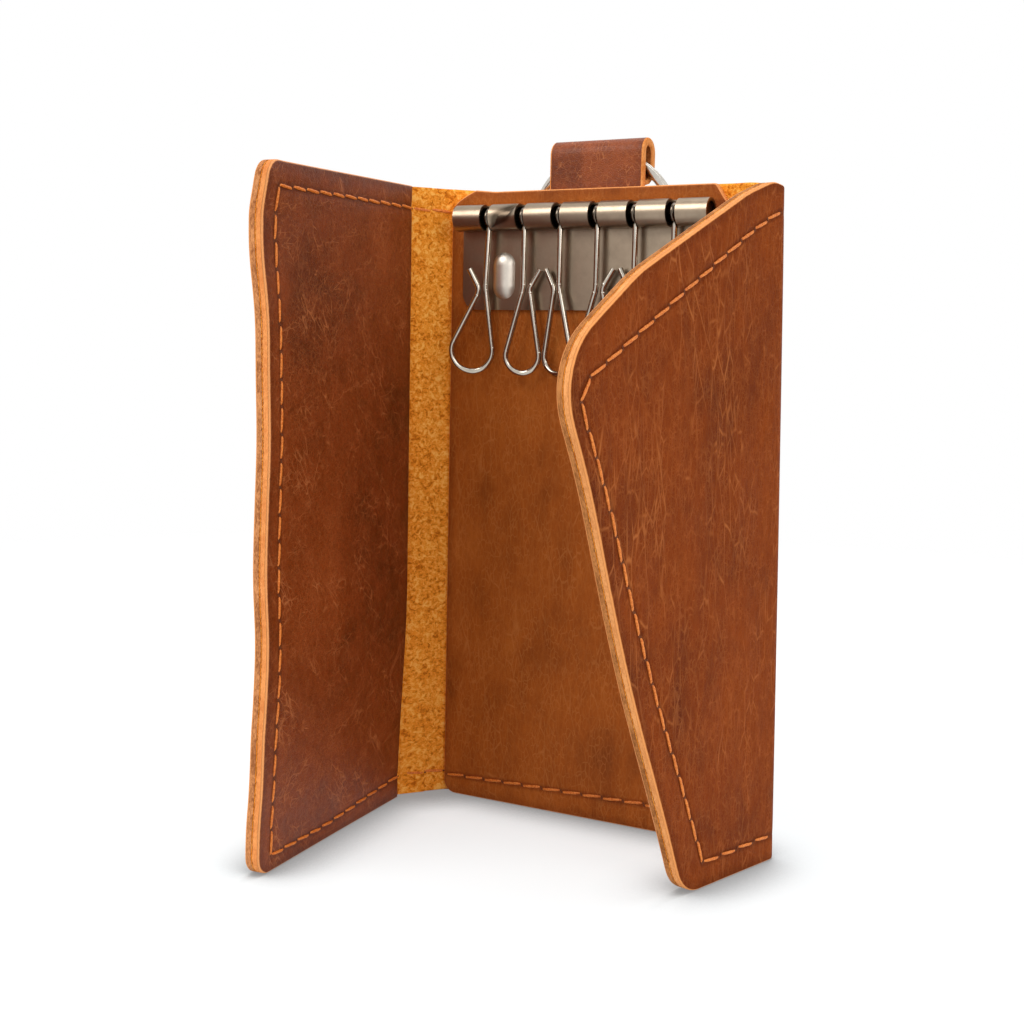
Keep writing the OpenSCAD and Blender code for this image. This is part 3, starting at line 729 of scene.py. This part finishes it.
def ply(name, surface, corners, low, high, seams, materials, start=None, side=1, origin=0.0):
    """A sheet of leather between the heights low and high over the shell's inner face.

    start holds fixed columns for a ply that goes on beyond u = start[0] as another piece.
    origin is where u = 0 lies on the whole hide, so that its pattern goes on from piece to piece.
    materials are those of the outer face, the inner face and the cut edge."""
    outline = rounded(corners)
    z_rows = rows()
    first, last = span(outline, z_rows)
    width = float((last - first).max())
    count = max(6, int(width / COLUMN_STEP))
    share = np.linspace(0, 1, count)[1:-1]
    edge = EDGE_OFFSETS[-1]
    columns = []
    for a, b in zip(first, last):
        if start is None:
            squeeze = min(1.0, (b - a) / (3 * edge))
            left = a + EDGE_OFFSETS * squeeze
        else:
            squeeze = min(1.0, max(0.05, (b - start[-1]) / (2 * edge)))
            left = np.array(start)
        right = b - EDGE_OFFSETS[::-1] * squeeze
        columns.append(np.concatenate([left, left[-1] + (right[0] - left[-1]) * share, right]))
    u = np.array(columns)
    z = np.repeat(z_rows[:, None], u.shape[1], axis=1)
    if start is None:
        border = np.vstack([outline, outline[:1]])
    else:
        # An open ply's border leaves out the side where the next piece goes on
        border = [p for p in outline if p[0] > start[0] + 1e-6]
        border = np.vstack([[start[0], 0], border, [start[0], CASE_H]])
    rounds = (EDGE_ROUND if low < 0 else JOINT_ROUND, EDGE_ROUND if high > 0 else JOINT_ROUND)
    return sheet(
        name, surface, u, z, (low, high), rounds, distance_to(border, u, z), seams,
        4 if start is None else 3, materials, side, origin)


# Seams

def point(surface, u, z, n):
    return Vector(surface(np.array([float(u)]), np.array([float(z)]), np.array([float(n)]))[0])


def seam_runs(path):
    """The lengths of a seam between its sharp corners, each with the distances of its points."""
    sharp = [0]
    for i in range(1, len(path) - 1):
        a, b = np.subtract(path[i], path[i - 1]), np.subtract(path[i + 1], path[i])
        if a.dot(b) < 0.85 * np.linalg.norm(a) * np.linalg.norm(b):
            sharp.append(i)
    sharp.append(len(path) - 1)
    for i, j in zip(sharp[:-1], sharp[1:]):
        run = np.array(path[i:j + 1])
        yield run, np.concatenate([[0], np.cumsum(np.linalg.norm(np.diff(run, axis=0), axis=1))])


def stitch_sections(start, end, up, aside):
    """The rings of one stitch: both ends dive into the leather, and the thread is twisted."""
    sections = []
    for i in range(STITCH_RINGS):
        t = i / (STITCH_RINGS - 1)
        lift = THREAD_R * (
            1.1 * (1 - abs(2 * t - 1) ** 5) - 0.5 - 0.3 * math.sin(math.pi * t))
        centre = start.lerp(end, t) + up * lift
        size = THREAD_R * (0.72 + 0.28 * math.sin(math.pi * t))
        ring = []
        for j in range(STITCH_SIDES):
            angle = 2 * math.pi * j / STITCH_SIDES
            twist = 1 + 0.11 * math.cos(2 * angle + t * STITCH_LEN * 4.2)
            offset = aside * math.cos(angle) + up * (0.8 * math.sin(angle))
            ring.append(centre + offset * size * twist)
        sections.append(ring)
    return sections


def seam_pieces(name, lines, body):
    """Waxed stitches along lines, each (surface, (u, z) points, height of the face, its side)."""
    rng = random.Random(name)
    vertices, faces, hole_vertices, hole_faces = [], [], [], []

    def sew(surface, run, reach, at, face, side):
        """One stitch at a distance along a seam's run, with the needle holes at its ends."""
        half = STITCH_LEN / 2 * rng.uniform(0.95, 1.05)
        first, middle, last = (
            np.array([np.interp(at + d, reach, run[:, i]) for i in (0, 1)])
            for d in (-half, 0, half))
        unit = (last - first) / np.linalg.norm(last - first)
        across = np.array([-unit[1], unit[0]])
        sway = across * rng.uniform(-STITCH_SWAY, STITCH_SWAY)
        slant = across * STITCH_SLANT
        middle = middle + sway
        ends = [first + sway - slant, last + sway + slant]
        start, end = (point(surface, *e, face - side * STITCH_SINK) for e in ends)
        up = (point(surface, *middle, face + side) - point(surface, *middle, face)).normalized()
        along = (end - start).normalized()
        aside = up.cross(along)
        points, quads = tube(stitch_sections(start, end, up, aside), len(vertices))
        vertices.extend(points)
        faces.extend(quads)
        for e, way in zip(ends, (-1, 1)):
            hole = point(surface, *(e + way * unit * HOLE_AHEAD), face - side * HOLE_SINK)
            base = len(hole_vertices)
            hole_vertices.append(hole)
            for j in range(STITCH_SIDES):
                angle = 2 * math.pi * j / STITCH_SIDES
                hole_vertices.append(
                    hole + along * HOLE_LONG * math.cos(angle)
                    + aside * HOLE_WIDE * math.sin(angle) + up * HOLE_LIFT)
                hole_faces.append((base, base + 1 + j, base + 1 + (j + 1) % STITCH_SIDES))

    for surface, path, face, side in lines:
        for run, reach in seam_runs(path):
            count = round(reach[-1] / STITCH_PITCH)
            for k in range(count):
                sew(surface, run, reach, (k + 0.5) * reach[-1] / count, face, side)
    thread = mesh_piece(name, vertices, faces, [0] * len(faces), [THREAD])
    holes = mesh_piece(name + "_holes", hole_vertices, hole_faces, [0] * len(hole_faces), [HOLE])
    for piece in (thread, holes):
        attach(piece, body)
    return thread


# The outer shell, one piece of leather that is cut at the middle of the spine and of each band

SPINE_BLEND = (0.9, 1.8)
FLAP_BLEND = (1.6, 1.2)
BEYOND_PIECE = 8


def bend(fold, reach):
    places = fold.hinge - reach[0] * fold.before, fold.hinge + reach[1] * fold.after
    return [(p[0] * MM, p[1] * MM, CASE_H / 2 * MM) for p in places]


def shell(name, side, spine, fold, band, flap_corners, seam, edge):
    """One half of the shell: half the spine with half a band, and the rest of it with the flap."""
    sign = "left" if side < 0 else "right"
    half = band / 2
    # u is measured from the crease, and reaches back to the middle of the spine
    columns = np.concatenate([
        np.linspace(-SPINE_HALF, -1.2, 34), np.linspace(-0.9, 2.1, 13), np.linspace(2.4, half, 5)])
    u, z = np.meshgrid(columns, rows())
    seams = [[(-SPINE_HALF, height), (half, height)] for height in (SEAM_INSET, TOP_SEAM_Z)]
    inner = sheet(
        name + "_spine_half", spine, u, z, (0.0, PLY), (EDGE_ROUND, EDGE_ROUND),
        np.minimum(z, CASE_H - z), seams, 2, (SHELL_OUT, SUEDE, EDGE), side, SPINE_HALF)
    start, end = bend(spine, SPINE_BLEND)
    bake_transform(inner)
    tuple(start)
    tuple(end)
    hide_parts("shell_spine", "crease_%s_spine" % sign, "shell_%s_band" % sign)
    columns = np.concatenate([np.linspace(-half, -1.8, 6), np.linspace(-1.5, 1.2, 11)])
    back = -half - BEYOND_PIECE
    outer = ply(
        name + "_flap", fold, [(back, 0, 0)] + flap_corners + [(back, CASE_H, 0)], 0.0, PLY,
        [seam], (SHELL_OUT, SUEDE, edge), start=columns, side=side, origin=SPINE_HALF + band)
    start, end = bend(fold, FLAP_BLEND)
    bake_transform(outer)
    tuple(start)
    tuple(end)
    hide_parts("shell_%s_band" % sign, "crease_%s_flap" % sign, "shell_%s_flap" % sign)


# The flaps' seams as (distance from the crease, height). They are sewn by hand, so they aren't
# quite parallel to the edges
LEFT_SEAM = [
    (LINING_SETBACK, 4.3), (27, 2.6), (46.3, 2.6), (46.5, 111.1), (LINING_SETBACK, 111.1)]
RIGHT_SEAM = [tuple(p) for p in rounded(
    [(LINING_SETBACK, 4.4, 0), (20.2, 4.3, 0), (51.8, 80.7, 4), (LINING_SETBACK, 110.3, 0)], 6)]


def spine_seams(reach, top_reach):
    """The panel's seams, the lower and the upper, as far as these distances from its middle."""
    return ([(-reach, BOTTOM_SEAM_Z[0]), (reach, BOTTOM_SEAM_Z[1])],
            [(-top_reach, TOP_SEAM_Z), (top_reach, TOP_SEAM_Z)])


def inner_plies():
    """The pocket's panel, the right flap's lining and the centre panel."""
    foot, head = [(LINING_SETBACK, 0, 0)], [(LINING_SETBACK, CASE_H, 0)]
    pocket = ply(
        "left_pocket", left_fold, foot + LEFT_FLAP + head, -PLY, 0.0, [LEFT_SEAM],
        (SUEDE, POCKET, EDGE_POCKET), side=-1)
    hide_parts("left_pocket_panel")
    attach(pocket, "left_flap")
    lining = ply(
        "right_lining", right_fold, foot + RIGHT_FLAP + head, -PLY, 0.0, [RIGHT_SEAM],
        (SUEDE, CENTRE, EDGE_LINING))
    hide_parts("right_flap_lining")
    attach(lining, "right_flap")
    panel = ply(
        "centre_sheet", panel_surface, PANEL, -PLY, 0.0,
        spine_seams(PANEL_HALF - 1, PANEL_HALF - 1), (SUEDE, CENTRE, EDGE))
    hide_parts("centre_panel")
    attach(panel, "spine")


def both_faces(surface, line):
    return [(surface, line, -PLY, -1), (surface, line, PLY, 1)]


def sew_seams():
    bottom, top = spine_seams(PANEL_HALF - 0.5, PANEL_HALF - 4.5)
    for name, line in (("stitching_spine_top", top), ("stitching_spine_bottom", bottom)):
        thread = seam_pieces("thread_" + name, both_faces(panel_surface, line), "spine")
        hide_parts(name)
    for sign, spine, fold, band, line in (
            ("left", left_spine, left_fold, LEFT_BAND, LEFT_SEAM),
            ("right", right_spine, right_fold, RIGHT_BAND, RIGHT_SEAM)):
        paths = [(spine, [(0.8, z), (band - 0.8, z)], face, way)
                 for z in (SEAM_INSET, CASE_H - SEAM_INSET)
                 for face, way in ((0.0, -1), (PLY, 1))]
        thread = seam_pieces("thread_%s_band" % sign, paths, sign + "_band")
        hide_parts("stitching_%s_band" % sign)
        thread = seam_pieces("thread_%s_flap" % sign, both_faces(fold, line), sign + "_flap")
        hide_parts("stitching_%s_flap" % sign)


# Hardware

def nickel_parts():
    """Nickel for the CAD nodes whose shape is right as it is."""
    for node, piece in frame["nodes"].items():
        material = None
        if node in ("hook_plate", "hook_axle"):
            material = NICKEL_BAR
        elif node.startswith("key_hook"):
            material = NICKEL_WIRE
        elif node.startswith(("hook_rivet", "rivet_washer")):
            material = NICKEL_SATIN
        if material:
            piece.data.materials.clear()
            piece.data.materials.append(material)


STRAP_TURN_R = 1.925
STRAP_BORDER_R = 0.34
STRAP_STEPS = 60


def strap():
    """The hanging strap: a strip of leather that goes round the ring and back between the plies."""
    low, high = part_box("strap_loop")
    root = Vector(JOINTS["strap_bend"]["pos_m"]) / MM
    centre = (low.x + high.x) / 2 / MM
    front = low.y / MM + HALF_PLY
    top = high.z / MM - HALF_PLY
    back = front + 2 * STRAP_TURN_R
    middle = Vector((front + STRAP_TURN_R, top - STRAP_TURN_R))
    # The strip's middle line seen from the side, as (y, z, thickness). Its end is thinned
    path = [(front, CASE_H + rise, PLY) for rise in (-4, 0, 1.5, 4)]
    for k in range(13):
        a = math.pi - math.pi * k / 12
        y, z = middle.x + STRAP_TURN_R * math.cos(a), middle.y + STRAP_TURN_R * math.sin(a)
        path.append((y, z, PLY))
    path += [
        (back, CASE_H + 4, PLY), (back - 0.1, CASE_H + 2.9, 1.3),
        (back - 0.6, CASE_H + 1.9, 1.15), (back - 1.5, CASE_H + 1.15, 1.0),
        (back - 2.6, CASE_H + 0.8, 0.8), (0.1, CASE_H + 0.6, 0.6)]
    sections = []
    fine = resample(path, STRAP_STEPS)
    across = np.linspace(-1, 1, 9)
    for i, (y, z, thick) in enumerate(fine):
        before, after = fine[max(i - 1, 0)], fine[min(i + 1, len(fine) - 1)]
        along = Vector((after[0] - before[0], after[1] - before[1])).normalized()
        normal = Vector((along.y, -along.x))
        section = strap_section(STRAP_HALF, thick / 2, min(STRAP_BORDER_R, thick / 2.2), across)
        sections.append([
            Vector((centre + x, y + normal.x * n, z + normal.y * n)) for x, n in section])
    vertices, faces = tube(sections)
    sides = len(sections[0])
    kinds = []
    for f in faces:
        border = min(abs(vertices[i].x - centre) for i in f) > STRAP_HALF - 0.36
        inside = max(i % sides for i in f) < len(across)
        kinds.append(1 if len(f) > 4 or border else 2 if inside else 0)
    place = np.array([(v.x, i // sides * 0.5, 0.0) for i, v in enumerate(vertices)])
    rim = np.array([STRAP_HALF - abs(v.x - centre) for v in vertices])
    piece = mesh_piece(
        "strap", vertices, faces, kinds, (STRAP, EDGE, STRAP_FLESH),
        {"flat": place, "rim": rim, "seam": np.full(len(vertices), FAR_FROM_SEAM)})
    x, y = root.x * MM, root.y * MM
    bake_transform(piece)
    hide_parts("strap_loop", "strap_tails")


def strap_section(half_w, half_t, r, across):
    """A flat strip's section with rounded borders, as (across, through) points."""
    half = [(half_w * s * (1 - r / half_w), half_t) for s in across]
    for middle, angles in ((half_t - r, (60, 30, 0)), (-half_t + r, (0, -30, -60))):
        half += [
            (half_w - r + r * math.cos(a), middle + r * math.sin(a)) for a in np.radians(angles)]
    return half + [(-x, -n) for x, n in half]


def resample(path, count):
    """Evenly spaced points on a path of (y, z, thickness)."""
    p = np.array(path)
    length = np.concatenate([[0], np.cumsum(np.linalg.norm(np.diff(p[:, :2], axis=0), axis=1))])
    at = np.linspace(0, length[-1], count)
    return np.stack([np.interp(at, length, p[:, k]) for k in range(p.shape[1])], axis=-1)


# The split ring's flattened wire: two turns less a gap, in radians, with one step from turn to turn
WIRE_WIDE, WIRE_THICK = 1.55, 0.93
WIRE_STEPS, WIRE_SIDES = 220, 14
WIRE_TURN = 4 * math.pi - 0.1
WIRE_START = math.radians(-84)
STEP_TURN = 0.45
WIRE_LEVEL = 0.46
WIRE_TAPER = 0.6


def split_ring():
    """Two turns of flattened wire with a step where one turn passes over to the other."""
    joint = JOINTS["ring_turn"]
    centre, normal = Vector(joint["pos_m"]) / MM, Vector(joint["axis"]).normalized()
    side = Vector((1, 0, 0))
    up = normal.cross(side)
    low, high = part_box("split_ring")
    radius = (high.x - low.x) / 2 / MM - WIRE_WIDE / 2
    sections = []
    for i in range(WIRE_STEPS + 1):
        turn = i / WIRE_STEPS * WIRE_TURN
        a = WIRE_START + turn
        stepped = float(smooth((turn - 2 * math.pi + STEP_TURN) / STEP_TURN))
        out = side * math.cos(a) + up * math.sin(a)
        middle = centre + out * radius + normal * (2 * WIRE_LEVEL * stepped - WIRE_LEVEL)
        end = min(turn, WIRE_TURN - turn) * radius
        size = math.sqrt(min(1.0, max(0.02, end / WIRE_TAPER)))
        ring = []
        for j in range(WIRE_SIDES):
            b = 2 * math.pi * j / WIRE_SIDES
            wide, thick = WIRE_WIDE / 2 * math.cos(b), WIRE_THICK / 2 * math.sin(b)
            ring.append(middle + (out * wide + normal * thick) * size)
        sections.append(ring)
    vertices, faces = tube(sections)
    piece = mesh_piece("ring_wire", vertices, faces, [0] * len(faces), [NICKEL_RING])
    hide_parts("split_ring")
    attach(piece, "ring")


# Floor, light and camera

FLOOR_SIZE = 0.6
FLOOR_COLOUR = (0.8, 0.85, 0.87, 1)
# What the camera and gloss see of it: its colour under the lamps and its glow, dimmed beside the
# case, and how far from the case it fades into the surroundings
FLOOR_SEEN = (0.3, 0.325, 0.335, 1)
FLOOR_GLOW = 0.68
SHADE_REACH = 0.014
FADE_START, FADE_END = 0.16, 0.45


def floor():
    """A white floor that fades into the white surroundings."""
    size = FLOOR_SIZE
    mesh = bpy.data.meshes.new("floor")
    corners = [(-size, -size, 0), (size, -size, 0), (size, size, 0), (-size, size, 0)]
    mesh.from_pydata(corners, [], [(0, 1, 2, 3)])
    material, tree, shader = node_tree("white_floor")
    n = Nodes(tree)
    contact = n.make("ShaderNodeAmbientOcclusion", samples=8)
    contact.inputs["Distance"].default_value = SHADE_REACH
    halo = n.ramp(contact.outputs["AO"], 0.4, 0.98, 0.35, 1.0)
    shown = n.blend(halo, (0, 0, 0, 1), FLOOR_SEEN)
    seen = n.background_rays()
    n.link(n.blend(seen, FLOOR_COLOUR, shown), shader.inputs["Base Color"])
    shader.inputs["Roughness"].default_value = 0.7
    shader.inputs["Specular IOR Level"].default_value = 0.1
    shader.inputs["Emission Color"].default_value = (1, 1, 1, 1)
    glow = n.math("MULTIPLY", n.math("MULTIPLY", seen, FLOOR_GLOW), halo)
    n.link(glow, shader.inputs["Emission Strength"])
    place = n.make("ShaderNodeTexCoord")
    away = n.make("ShaderNodeVectorMath", operation="LENGTH")
    n.link(place.outputs["Object"], away.inputs[0])
    clear = n.make("ShaderNodeBsdfTransparent")
    mix = n.make("ShaderNodeMixShader")
    n.link(n.ramp(away.outputs["Value"], FADE_START, FADE_END), mix.inputs[0])
    n.link(shader.outputs[0], mix.inputs[1])
    n.link(clear.outputs[0], mix.inputs[2])
    output = next(node for node in tree.nodes if node.type == "OUTPUT_MATERIAL")
    n.link(mix.outputs[0], output.inputs[0])
    mesh.materials.append(material)
    piece = bpy.data.objects.new("floor", mesh)
    piece.location.z = -0.05 * MM
    bpy.context.scene.collection.objects.link(piece)


# Each lamp is (name, place, size, power, colour), in metres and watts
LAMPS = [
    ("key", (-0.30, -0.50, 0.55), (0.45, 0.4), 3.15, (1.0, 0.98, 0.95)),
    ("fill", (0.55, -0.40, 0.30), (0.4, 0.5), 1.5, (1.0, 0.98, 0.96)),
    ("top", (0.05, 0.15, 0.7), (0.5, 0.5), 1.5, (1, 1, 1))]
LAMPS_LOOK_AT = Vector((0, -0.02, 0.06))
ROOM_STRENGTH = 0.8


def area_light(name, at, size, power, colour):
    light = bpy.data.lights.new(name, "AREA")
    light.shape = "RECTANGLE"
    light.size, light.size_y = size
    light.energy = power
    light.color = colour
    holder = bpy.data.objects.new(name, light)
    holder.location = at
    holder.rotation_euler = (LAMPS_LOOK_AT - Vector(at)).to_track_quat("-Z", "Y").to_euler()
    bpy.context.scene.collection.objects.link(holder)


def lights():
    """The lamps, and a room that is white where it is seen and softer where it lights."""
    for lamp in LAMPS:
        area_light(*lamp)
    world = bpy.data.worlds.new("studio")
    bpy.context.scene.world = world
    world.use_nodes = True
    tree = world.node_tree
    tree.nodes.clear()
    n = Nodes(tree)
    out = n.make("ShaderNodeOutputWorld")
    shown = n.make("ShaderNodeBackground")
    shown.inputs["Color"].default_value = (1, 1, 1, 1)
    shown.inputs["Strength"].default_value = 1.0
    room = n.make("ShaderNodeBackground")
    place = n.make("ShaderNodeTexCoord")
    split = n.make("ShaderNodeSeparateXYZ")
    n.link(place.outputs["Generated"], split.inputs[0])
    tall = n.ramp(split.outputs[2], -0.1, 0.75, 0.35, 1.0)
    n.link(n.blend(tall, (0.5, 0.5, 0.5, 1.0), (1.0, 1.0, 1.0, 1.0)), room.inputs["Color"])
    room.inputs["Strength"].default_value = ROOM_STRENGTH
    mix = n.make("ShaderNodeMixShader")
    n.link(n.background_rays(), mix.inputs[0])
    n.link(room.outputs[0], mix.inputs[1])
    n.link(shown.outputs[0], mix.inputs[2])
    n.link(mix.outputs[0], out.inputs[0])


# The photograph's camera: lens, place in millimetres, and directions to the right and back
CAMERA_LENS = 52.235
CAMERA_AT = Vector((122.286, -242.101, 86.390))
CAMERA_RIGHT = Vector((0.868584, 0.495133, 0.020114))
CAMERA_BACK = Vector((0.490336, -0.864620, 0.109558))


def camera():
    data = bpy.data.cameras.new("camera")
    data.lens = CAMERA_LENS
    data.sensor_width = 36
    data.clip_start, data.clip_end = 0.01, 10
    holder = bpy.data.objects.new("camera", data)
    back = CAMERA_BACK.normalized()
    right = (CAMERA_RIGHT - back * CAMERA_RIGHT.dot(back)).normalized()
    turn = Matrix((right, back.cross(right), back)).transposed().to_4x4()
    holder.matrix_world = Matrix.Translation(CAMERA_AT * MM) @ turn
    bpy.context.scene.collection.objects.link(holder)
    bpy.context.scene.camera = holder


shell("shell_left", -1, left_spine, left_fold, LEFT_BAND, LEFT_FLAP, LEFT_SEAM, EDGE_SHELL_LEFT)
shell(
    "shell_right", 1, right_spine, right_fold, RIGHT_BAND, RIGHT_FLAP, RIGHT_SEAM,
    EDGE_SHELL_RIGHT)
inner_plies()
sew_seams()
nickel_parts()
strap()
split_ring()
floor()
lights()
camera()
bpy.context.scene.view_settings.view_transform = "Standard"

bpy.context.view_layer.update()
